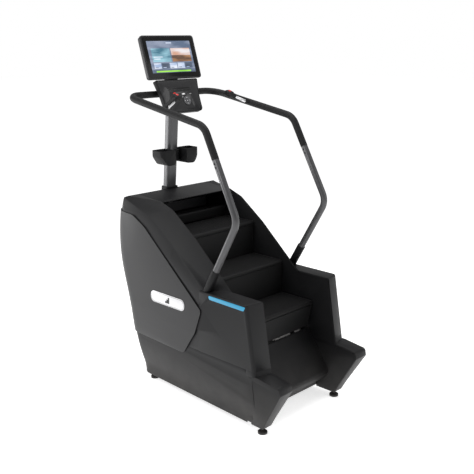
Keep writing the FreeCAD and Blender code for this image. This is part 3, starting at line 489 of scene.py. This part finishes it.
def grained(name, rgb, gloss, scale=900.0, depth=0.5, dust=0.0, metallic=0.0, coat=0.0, change=0.12):
    """Moulded or painted surface with a fine grain, uneven gloss and a little floor dust."""
    if name in bpy.data.materials:
        return bpy.data.materials[name]
    material, nodes, links, shader = start_material(name)
    shader.inputs["Specular IOR Level"].default_value = 0.24
    shader.inputs["Metallic"].default_value = metallic
    shader.inputs["Coat Weight"].default_value = coat
    shader.inputs["Coat Roughness"].default_value = 0.12
    grain = group_node(nodes, grain_group(), {"Scale": scale, "Depth": depth, "Gloss": gloss,
                                              "Gloss Change": change})
    links.new(grain.outputs["Roughness"], shader.inputs["Roughness"])
    bump_from(nodes, links, grain.outputs["Height"], shader, 0.35, 0.0004)
    rgba = tuple(rgb) + (1.0,)
    floor_dust = group_node(nodes, dust_group(), {"Colour": rgba, "Amount": dust})
    links.new(floor_dust.outputs["Colour"], shader.inputs["Base Color"])
    return material


def charcoal_plastic():
    return grained("Charcoal moulded plastic", colours().charcoal, 0.47, 1100.0, 0.5, 0.35)


def accent_plastic():
    return grained("Accent moulded plastic", colours().accent, 0.43, 1300.0, 0.4, 0.05, 0.15)


def inner_plastic():
    return grained("Inner black plastic", colours().inner, 0.55, 800.0, 0.6, 0.30)


def tread_rubber():
    return grained("Tread rubber", colours().tread, 0.62, 700.0, 0.8, 0.10)


def metallic_paint():
    return grained("Metallic rail paint", colours().metallic, 0.36, 2200.0, 0.25, 0.0, 0.65, 0.15, 0.06)


def grip_rubber():
    return grained("Soft grip rubber", colours().grip, 0.60, 1500.0, 0.7)


def white_print():
    return grained("White print", (0.62, 0.62, 0.62), 0.5, 1600.0, 0.2)


def dark_print():
    return grained("Dark print", (0.030, 0.030, 0.032), 0.45, 1600.0, 0.2)


def screw_steel():
    return grained("Black screw", (0.020, 0.020, 0.021), 0.35, 2000.0, 0.3, 0.0, 0.8)


def frame_paint():
    return grained("Frame powder coat", (0.030, 0.030, 0.033), 0.48, 1200.0, 0.7, 0.5)


def display_plastic():
    return grained("Display shell plastic", (0.018, 0.018, 0.020), 0.38, 1600.0, 0.3)


def grey_key_plastic():
    return grained("Grey key plastic", (0.090, 0.090, 0.095), 0.42, 1600.0, 0.3)


def foot_rubber():
    return grained("Foot rubber", (0.012, 0.012, 0.012), 0.70, 600.0, 0.8, 0.4)


def belt_rubber():
    return grained("Belt rubber", (0.011, 0.011, 0.011), 0.66, 900.0, 0.8)


def board_lacquer():
    return grained("Circuit board lacquer", (0.010, 0.085, 0.035), 0.35, 500.0, 0.4)


def gloss_plastic(name, rgb, coat=1.0, gloss=0.12):
    """Polished plastic with faint finger smears in its gloss."""
    return grained(name, rgb, gloss, 40.0, 0.02, 0.0, 0.0, coat, 0.10)


def brushed(name, rgb, along, gloss):
    if name in bpy.data.materials:
        return bpy.data.materials[name]
    material, nodes, links, shader = start_material(name)
    shader.inputs["Base Color"].default_value = tuple(rgb) + (1.0,)
    shader.inputs["Metallic"].default_value = 1.0
    lines = group_node(nodes, brushed_group(), {"Along": along, "Gloss": gloss})
    links.new(lines.outputs["Roughness"], shader.inputs["Roughness"])
    bump_from(nodes, links, lines.outputs["Height"], shader, 0.15, 0.0002)
    return material


def brushed_aluminium():
    return brushed("Brushed aluminium", (0.66, 0.66, 0.67), (900.0, 12.0, 900.0), 0.36)


def contact_steel():
    return brushed("Pulse contact steel", (0.66, 0.66, 0.67), (12.0, 900.0, 900.0), 0.16)


def chain_steel():
    return brushed("Oiled chain steel", (0.26, 0.255, 0.25), (300.0, 300.0, 300.0), 0.34)


def cast_aluminium():
    return brushed("Cast aluminium", (0.52, 0.52, 0.53), (220.0, 220.0, 220.0), 0.42)


def screen_glow(name, low_rgb, high_rgb):
    """Lit screen area that shades from one colour to the other in soft streaks."""
    if name in bpy.data.materials:
        return bpy.data.materials[name]
    material, nodes, links, shader = start_material(name)
    spot = nodes.new("ShaderNodeTexCoord")
    stretch = nodes.new("ShaderNodeVectorMath")
    stretch.operation = "MULTIPLY"
    stretch.inputs[1].default_value = (7.0, 30.0, 30.0)
    streaks = nodes.new("ShaderNodeTexNoise")
    streaks.inputs["Scale"].default_value = 1.0
    streaks.inputs["Detail"].default_value = 3.0
    ramp = nodes.new("ShaderNodeValToRGB")
    ramp.color_ramp.elements[0].position = 0.36
    ramp.color_ramp.elements[0].color = tuple(low_rgb) + (1.0,)
    ramp.color_ramp.elements[1].position = 0.64
    ramp.color_ramp.elements[1].color = tuple(high_rgb) + (1.0,)
    links.new(spot.outputs["Object"], stretch.inputs[0])
    links.new(stretch.outputs[0], streaks.inputs["Vector"])
    links.new(streaks.outputs["Fac"], ramp.inputs["Fac"])
    shader.inputs["Base Color"].default_value = (0.02, 0.02, 0.02, 1.0)
    links.new(ramp.outputs["Color"], shader.inputs["Emission Color"])
    shader.inputs["Emission Strength"].default_value = 1.15
    shader.inputs["Roughness"].default_value = 0.5
    return material


def glowing(name, rgb, strength, gloss=0.25):
    """Lit surface: its colour fades a little in soft patches, as behind a diffuser."""
    if name in bpy.data.materials:
        return bpy.data.materials[name]
    material, nodes, links, shader = start_material(name)
    spot = nodes.new("ShaderNodeTexCoord")
    cloud = nodes.new("ShaderNodeTexNoise")
    cloud.inputs["Scale"].default_value = 14.0
    ramp = nodes.new("ShaderNodeValToRGB")
    ramp.color_ramp.elements[0].color = tuple(c * 0.80 for c in rgb) + (1.0,)
    ramp.color_ramp.elements[1].color = tuple(rgb) + (1.0,)
    ramp.color_ramp.elements[1].position = 0.62
    links.new(spot.outputs["Object"], cloud.inputs["Vector"])
    links.new(cloud.outputs["Fac"], ramp.inputs["Fac"])
    shader.inputs["Base Color"].default_value = (0.01, 0.06, 0.09, 1.0)
    links.new(ramp.outputs["Color"], shader.inputs["Emission Color"])
    shader.inputs["Emission Strength"].default_value = strength
    shader.inputs["Roughness"].default_value = gloss
    return material


# ---- pieces -------------------------------------------------------------------------------------
class CLIMBER_OT_covers(bpy.types.Operator):
    """Body covers, hood, rear cover and accent panels with softened edges"""
    bl_idname = "climber.covers"
    bl_label = "Covers"

    def execute(self, context):
        edge = sizes().cover_edge
        for side in ("left", "right"):
            for part in ("upper", "lower"):
                stand_in(side + "_" + part + "_side_cover", edge, charcoal_plastic())
        stand_in("hood", edge, charcoal_plastic())
        stand_in("rear_cover", edge * 0.6, charcoal_plastic())
        panels = stand_in("accent_panels", edge, accent_plastic())
        self.painted_shadow_edge(panels)
        for node in ("inner_walls", "kick_panel", "mast_collar"):
            stand_in(node, edge * 0.5, inner_plastic())
        return {"FINISHED"}

    def painted_shadow_edge(self, panels):
        """The accent panels stand proud on a dark edge that faces away from the side: painted shadow in the
        inner black, for the shade in the gap round each panel.
        """
        panels.data.materials.append(inner_plastic())
        # faces that face neither sideways nor backwards get the inner black as painted shadow
        for face in panels.data.polygons:
            if abs(face.normal.x) < 0.5 and face.normal.y < 0.9:
                face.material_index = 1


class CLIMBER_OT_side_trim(bpy.types.Operator):
    """Lit strips under the shelves and plain raised badges on the accent panels"""
    bl_idname = "climber.side_trim"
    bl_label = "Side trim"

    def execute(self, context):
        stand_in("light_bars", 0.0006, glowing("Lit strip", colours().light, 0.68))
        stand_in("badge_plates", 0.0008, brushed_aluminium())
        self.emblem()
        return {"FINISHED"}

    def emblem(self):
        """Thin dark rim round each badge and a plain three-step sign in its middle."""
        low, high = [Vector(corner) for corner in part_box("badge_plates")]
        middle = (low + high) / 2
        half_w, half_h = (high.y - low.y) / 2, (high.z - low.z) / 2
        outline = self.pill(half_w - BADGE_INSET, half_h - BADGE_INSET)
        for side, word in ((-1, "left"), (1, "right")):
            sign = prism("badge_sign", self.stairs(half_h * SIGN_SHARE), -0.0001, 0.0004)
            rim = ring_plate("badge_rim", outline, BADGE_RIM, -0.0001, 0.0005)
            for piece in (sign, rim):
                piece.rotation_euler = (0.0, 0.0, side * math.pi / 2)
                piece.location = (side * high.x, middle.y, middle.z)
                settle(piece, piece.name + "_" + word)
                place(piece, "badge_plates", dark_print())

    def stairs(self, tread):
        """Outline of a flight of three plain steps about the centre."""
        corners = [(0, 0), (3, 0), (3, 3), (2, 3), (2, 2), (1, 2), (1, 1), (0, 1)]
        return [((x - 1.5) * tread, (z - 1.5) * tread) for x, z in corners]

    def pill(self, half_w, half_h, steps=40):
        """Outline of a long plate with round ends."""
        outline = []
        for step in range(steps):
            angle = 2 * math.pi * (step + 0.5) / steps
            straight = math.copysign(half_w - half_h, math.cos(angle))
            outline.append((straight + half_h * math.cos(angle), half_h * math.sin(angle)))
        return outline


class CLIMBER_OT_treads(bpy.types.Operator):
    """Treads and risers with ribbed grip mats"""
    bl_idname = "climber.treads"
    bl_label = "Treads"

    def execute(self, context):
        for node in ("tread_1", "step_2", "step_3", "riser_1", "top_step", "return_steps",
                     "lower_folded_step"):
            stand_in(node, sizes().metal_edge, tread_rubber())
        for node in ("tread_1", "step_2", "step_3"):
            self.mat(node)
        return {"FINISHED"}

    def mat(self, node):
        low, high = [Vector(corner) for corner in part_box(node)]
        pitch, height = sizes().rib_pitch, sizes().rib_height
        margin = 0.014
        front = low.y + margin
        count = int((STEP_RUN - 1.5 * margin) / pitch)
        rib = block(node + "_ribs", (low.x + margin, front, high.z - 0.0004),
                    (high.x - margin, front + pitch * 0.45, high.z + height))
        bevel(rib, height * 0.4, 1)
        repeat(rib, count, (0.0, pitch, 0.0))
        smooth(rib)
        place(rib, node, tread_rubber())


class CLIMBER_OT_rails(bpy.types.Operator):
    """Handrails, mast, pulse grips and the holder on the mast"""
    bl_idname = "climber.rails"
    bl_label = "Rails and mast"

    def execute(self, context):
        edge = sizes().metal_edge
        for side in ("left", "right"):
            rail = stand_in(side + "_lower_handrail", edge, metallic_paint())
            self.boot(rail, side)
            self.screws(side)
            stand_in(side + "_upper_handrail", edge, grip_rubber())
            stand_in(side + "_pod_button", edge * 0.5, gloss_plastic("Stop red plastic", colours().stop))
        stand_in("mast", 0.0, metallic_paint())
        stand_in("accessory_holder", 0.0015, inner_plastic())
        stand_in("pulse_grips", edge, grip_rubber())
        stand_in("pulse_contacts", edge * 0.3, contact_steel())
        stand_in("console_bracket", 0.0015, inner_plastic())
        return {"FINISHED"}

    def on_side(self, point, side):
        """A point of the right rail, mirrored for the left one."""
        return Vector((-point.x if side == "left" else point.x, point.y, point.z))

    def boot(self, rail, side):
        """The foot sleeve of a rail is black: its faces stand further out than the tube."""
        rail.data.materials.append(inner_plastic())
        foot, knee = self.on_side(RAIL_BASE, side), self.on_side(RAIL_KNEE, side)
        along = (knee - foot).normalized()
        for face in rail.data.polygons:
            spans = [(rail.data.vertices[v].co - foot) for v in face.vertices]
            out = max((span - along * span.dot(along)).length for span in spans)
            if out > SLEEVE_INNER and max(span.dot(along) for span in spans) < SLEEVE_REACH:
                face.material_index = 1

    def screws(self, side):
        """Two button-head screws in the left face of each rail, just below the soft covering."""
        knee, shoulder = self.on_side(RAIL_KNEE, side), self.on_side(RAIL_SHOULDER, side)
        facing = Vector((-1.0, 0.0, 0.0))
        heads = []
        for part in SCREW_SPOTS:
            head = turned("rail_screw", SCREW_PROFILE, 16)
            spot = knee.lerp(shoulder, part) + facing * (RAIL_RADIUS - 0.0004)
            stand_along(head, spot, spot + facing)
            heads.append(head)
        place(join(heads, side + "_rail_screws"), side + "_lower_handrail", screw_steel())


class CLIMBER_OT_display(bpy.types.Operator):
    """Display shell, glass and the lit picture with plain tiles"""
    bl_idname = "climber.display"
    bl_label = "Display"

    def execute(self, context):
        stand_in("display_housing", 0.0015, display_plastic())
        glass = gloss_plastic("Black display glass", (0.002, 0.002, 0.0022), 0.0, 0.22)
        stand_in("display_glass", 0.0003, glass)
        self.picture()
        return {"FINISHED"}

    def picture(self):
        """Lit picture: a backdrop, two large tiles, a row of small tiles and a progress bar."""
        half, low = sizes().picture_half, sizes().picture_low
        high = low + sizes().picture_height
        looks = {
            "backdrop": screen_glow("Screen backdrop", (0.07, 0.11, 0.19), (0.24, 0.28, 0.38)),
            "sea": screen_glow("Screen sea tile", (0.02, 0.13, 0.20), (0.28, 0.52, 0.62)),
            "sun": screen_glow("Screen sunset tile", (0.56, 0.30, 0.20), (0.72, 0.68, 0.70)),
            "sand": screen_glow("Screen sand tile", (0.09, 0.035, 0.012), (0.50, 0.24, 0.10)),
            "pale": screen_glow("Screen pale tile", (0.30, 0.40, 0.60), (0.80, 0.84, 0.92)),
            "dark": screen_glow("Screen dark tile", (0.03, 0.05, 0.09), (0.10, 0.14, 0.22)),
            "green": screen_glow("Screen progress bar", (0.22, 0.62, 0.03), (0.42, 0.85, 0.08)),
        }
        tiles = [("backdrop", -half, half, low, high, 0)]
        tiles += [("sea", -0.150, -0.006, 0.100, 0.183, 1), ("sun", 0.004, 0.158, 0.140, 0.183, 1),
                  ("sand", 0.004, 0.158, 0.100, 0.139, 1), ("pale", -0.022, 0.022, 0.212, 0.219, 1),
                  ("pale", -0.140, -0.070, 0.128, 0.133, 2), ("pale", -0.140, -0.090, 0.116, 0.121, 2),
                  ("dark", -half, half, low, low + 0.021, 1),
                  ("green", -0.142, 0.134, low + 0.004, low + 0.013, 2)]
        tile_w, tile_gap = 0.0555, 0.0065
        for index, look in enumerate(("pale", "dark", "pale", "pale", "dark")):
            x = -0.150 + index * (tile_w + tile_gap)
            tiles.append((look, x, x + tile_w, 0.060, 0.093, 1))
            mark = "pale" if look == "dark" else "dark"
            tiles.append((mark, x + 0.006, x + 0.030, 0.064, 0.068, 2))
        pieces = []
        for index, (look, x0, x1, z0, z1, layer) in enumerate(tiles):
            front = 0.00040 - 0.00012 * layer
            piece = block("tile_%d" % index, (x0, front, z0), (x1, front + 0.0001, z1))
            dress(piece, looks[look])
            pieces.append(piece)
        picture = join(pieces, "screen_picture")
        place(lean_back(picture, SCREEN_TILT, SCREEN_FOOT), "display_glass")


class CLIMBER_OT_keypad(bpy.types.Operator):
    """Keypad shell, gloss face and keys"""
    bl_idname = "climber.keypad"
    bl_label = "Keypad"

    def execute(self, context):
        edge = sizes().metal_edge
        stand_in("keypad_housing", 0.0015, inner_plastic())
        stand_in("keypad_face", edge * 0.5, gloss_plastic("Keypad gloss", (0.012, 0.012, 0.013), 0.6, 0.3))
        stand_in("stop_button", edge, gloss_plastic("Stop red plastic", colours().stop))
        stand_in("white_key", edge, gloss_plastic("White key plastic", (0.74, 0.74, 0.74), 0.4, 0.3))
        for node in ("select_key", "direction_pad", "power_switch"):
            stand_in(node, edge * 0.5, grey_key_plastic())
        stand_in("power_inlet", edge, inner_plastic())
        self.marks()
        return {"FINISHED"}

    def marks(self):
        """Plain arrow heads on the direction pad, a dot on the select key and three short lines."""
        centre = Vector(PAD_CENTRE)
        front, back = -0.00185, -0.0015
        arrow = ((-ARROW_TIP, ARROW_REACH), (ARROW_TIP, ARROW_REACH), (0.0, ARROW_REACH + ARROW_TIP))
        arrows = []
        for side in range(4):
            turn = Matrix.Rotation(side * math.pi / 2, 2)
            corners = [centre + turn @ Vector(corner) for corner in arrow]
            arrows.append(prism("arrow_%d" % side, corners, front, back))
        self.print_on(join(arrows, "pad_arrows"), "direction_pad")
        angles = [index * math.pi / 8 for index in range(16)]
        dot = [centre + DOT_RADIUS * Vector((math.cos(angle), math.sin(angle))) for angle in angles]
        self.print_on(prism("select_dot", dot, front, back), "select_key")
        lines = []
        for x, z, half in ((0.010, 0.0935, 0.005), (-0.050, 0.0935, 0.007), (0.078, 0.112, 0.008)):
            low, high = z - 0.001, z + 0.001
            corners = [(x - half, low), (x + half, low), (x + half, high), (x - half, high)]
            lines.append(prism("line_%d" % len(lines), corners, 0.0008, 0.0011))
        self.print_on(join(lines, "keypad_lines"), "keypad_face")

    def print_on(self, piece, node):
        place(lean_back(piece, PANEL_TILT, PANEL_FOOT), node, white_print())


class CLIMBER_OT_inner_works(bpy.types.Operator):
    """Frame, chains, shafts, belts, alternator, boards, feet and wheels"""
    bl_idname = "climber.inner_works"
    bl_label = "Inner works"

    def execute(self, context):
        finishes = {
            "frame_paint": frame_paint(),
            "chain_steel": chain_steel(),
            "cast_aluminium": cast_aluminium(),
            "belt_rubber": belt_rubber(),
            "foot_rubber": foot_rubber(),
            "board_green": board_lacquer(),
        }
        for node, piece in frame["nodes"].items():
            if record_slot(node) in finishes:
                dress(piece, finishes[record_slot(node)])
        return {"FINISHED"}


class CLIMBER_OT_stage(bpy.types.Operator):
    """Pale floor, soft lights and the camera"""
    bl_idname = "climber.stage"
    bl_label = "Stage"

    def execute(self, context):
        self.floor()
        self.lights()
        self.camera()
        return {"FINISHED"}

    def floor(self):
        clear_selection()
        bpy.ops.mesh.primitive_plane_add(size=60.0, location=(0.0, 0.0, 0.0))
        floor = settle(bpy.context.object, "studio_floor")
        material, nodes, links, shader = start_material("Studio floor")
        shader.inputs["Base Color"].default_value = FLOOR_WHITE
        shader.inputs["Roughness"].default_value = 0.9
        shader.inputs["Emission Color"].default_value = FLOOR_WHITE
        shader.inputs["Emission Strength"].default_value = 0.72
        dress(floor, material)
        world = bpy.data.worlds.new("Studio")
        world.use_nodes = True
        back = world.node_tree.nodes["Background"]
        back.inputs["Color"].default_value = (1.0, 1.0, 1.0, 1.0)
        seen = world.node_tree.nodes.new("ShaderNodeLightPath")
        level = world.node_tree.nodes.new("ShaderNodeMath")
        level.operation = "MULTIPLY_ADD"
        level.inputs[1].default_value = 1.0 - AMBIENT
        level.inputs[2].default_value = AMBIENT
        world.node_tree.links.new(seen.outputs["Is Camera Ray"], level.inputs[0])
        world.node_tree.links.new(level.outputs[0], back.inputs["Strength"])
        bpy.context.scene.world = world

    def soft_light(self, name, spot, aim, size, power):
        clear_selection()
        bpy.ops.object.light_add(type="AREA", location=spot)
        light = bpy.context.object
        light.name = name
        light.data.size = size
        light.data.energy = power
        light.rotation_euler = (Vector(aim) - Vector(spot)).to_track_quat("-Z", "Y").to_euler()

    def lights(self):
        self.soft_light("key_light", (-3.5, 0.6, 3.6), (0.0, 0.0, 0.9), 2.6, 70.0)
        self.soft_light("rim_light", (-2.6, 4.2, 1.2), (-0.3, 0.4, 0.8), 1.6, 60.0)
        self.soft_light("fill_light", (1.8, -4.2, 3.0), (0.0, 0.0, 0.8), 3.0, 42.0)
        self.soft_light("top_light", (0.2, 0.3, 4.6), (0.0, 0.2, 1.0), 3.0, 85.0)

    def camera(self):
        clear_selection()
        bpy.ops.object.camera_add(location=EYE)
        camera = bpy.context.object
        camera.name = "product_camera"
        camera.rotation_euler = (math.pi / 2 - EYE_PITCH, 0.0, -EYE_YAW)
        camera.data.sensor_width = 36.0
        camera.data.lens = LENS
        bpy.context.scene.camera = camera
        bpy.context.scene.view_settings.view_transform = "Standard"


class CLIMBER_PT_panel(bpy.types.Panel):
    """Sidebar list of the pieces"""
    bl_idname = "CLIMBER_PT_panel"
    bl_label = "Stair Climber"
    bl_space_type = "VIEW_3D"
    bl_region_type = "UI"
    bl_category = "Stair Climber"

    def draw(self, context):
        for group in (context.scene.climber_sizes, context.scene.climber_colours):
            for name in group.__annotations__:
                self.layout.prop(group, name)
        for operator in PIECES:
            self.layout.operator(operator.bl_idname)


PIECES = (CLIMBER_OT_covers, CLIMBER_OT_side_trim, CLIMBER_OT_treads, CLIMBER_OT_rails,
          CLIMBER_OT_display, CLIMBER_OT_keypad, CLIMBER_OT_inner_works, CLIMBER_OT_stage)
CLASSES = (ClimberSizes, ClimberColours) + PIECES + (CLIMBER_PT_panel,)


def register():
    for item in CLASSES:
        bpy.utils.register_class(item)
    bpy.types.Scene.climber_sizes = bpy.props.PointerProperty(type=ClimberSizes)
    bpy.types.Scene.climber_colours = bpy.props.PointerProperty(type=ClimberColours)


def unregister():
    del bpy.types.Scene.climber_colours
    del bpy.types.Scene.climber_sizes
    for item in reversed(CLASSES):
        bpy.utils.unregister_class(item)


def main():
    register()
    bpy.ops.climber.covers()
    bpy.ops.climber.side_trim()
    bpy.ops.climber.treads()
    bpy.ops.climber.rails()
    bpy.ops.climber.display()
    bpy.ops.climber.keypad()
    bpy.ops.climber.inner_works()
    bpy.ops.climber.stage()


if __name__ == "__main__":
    main()
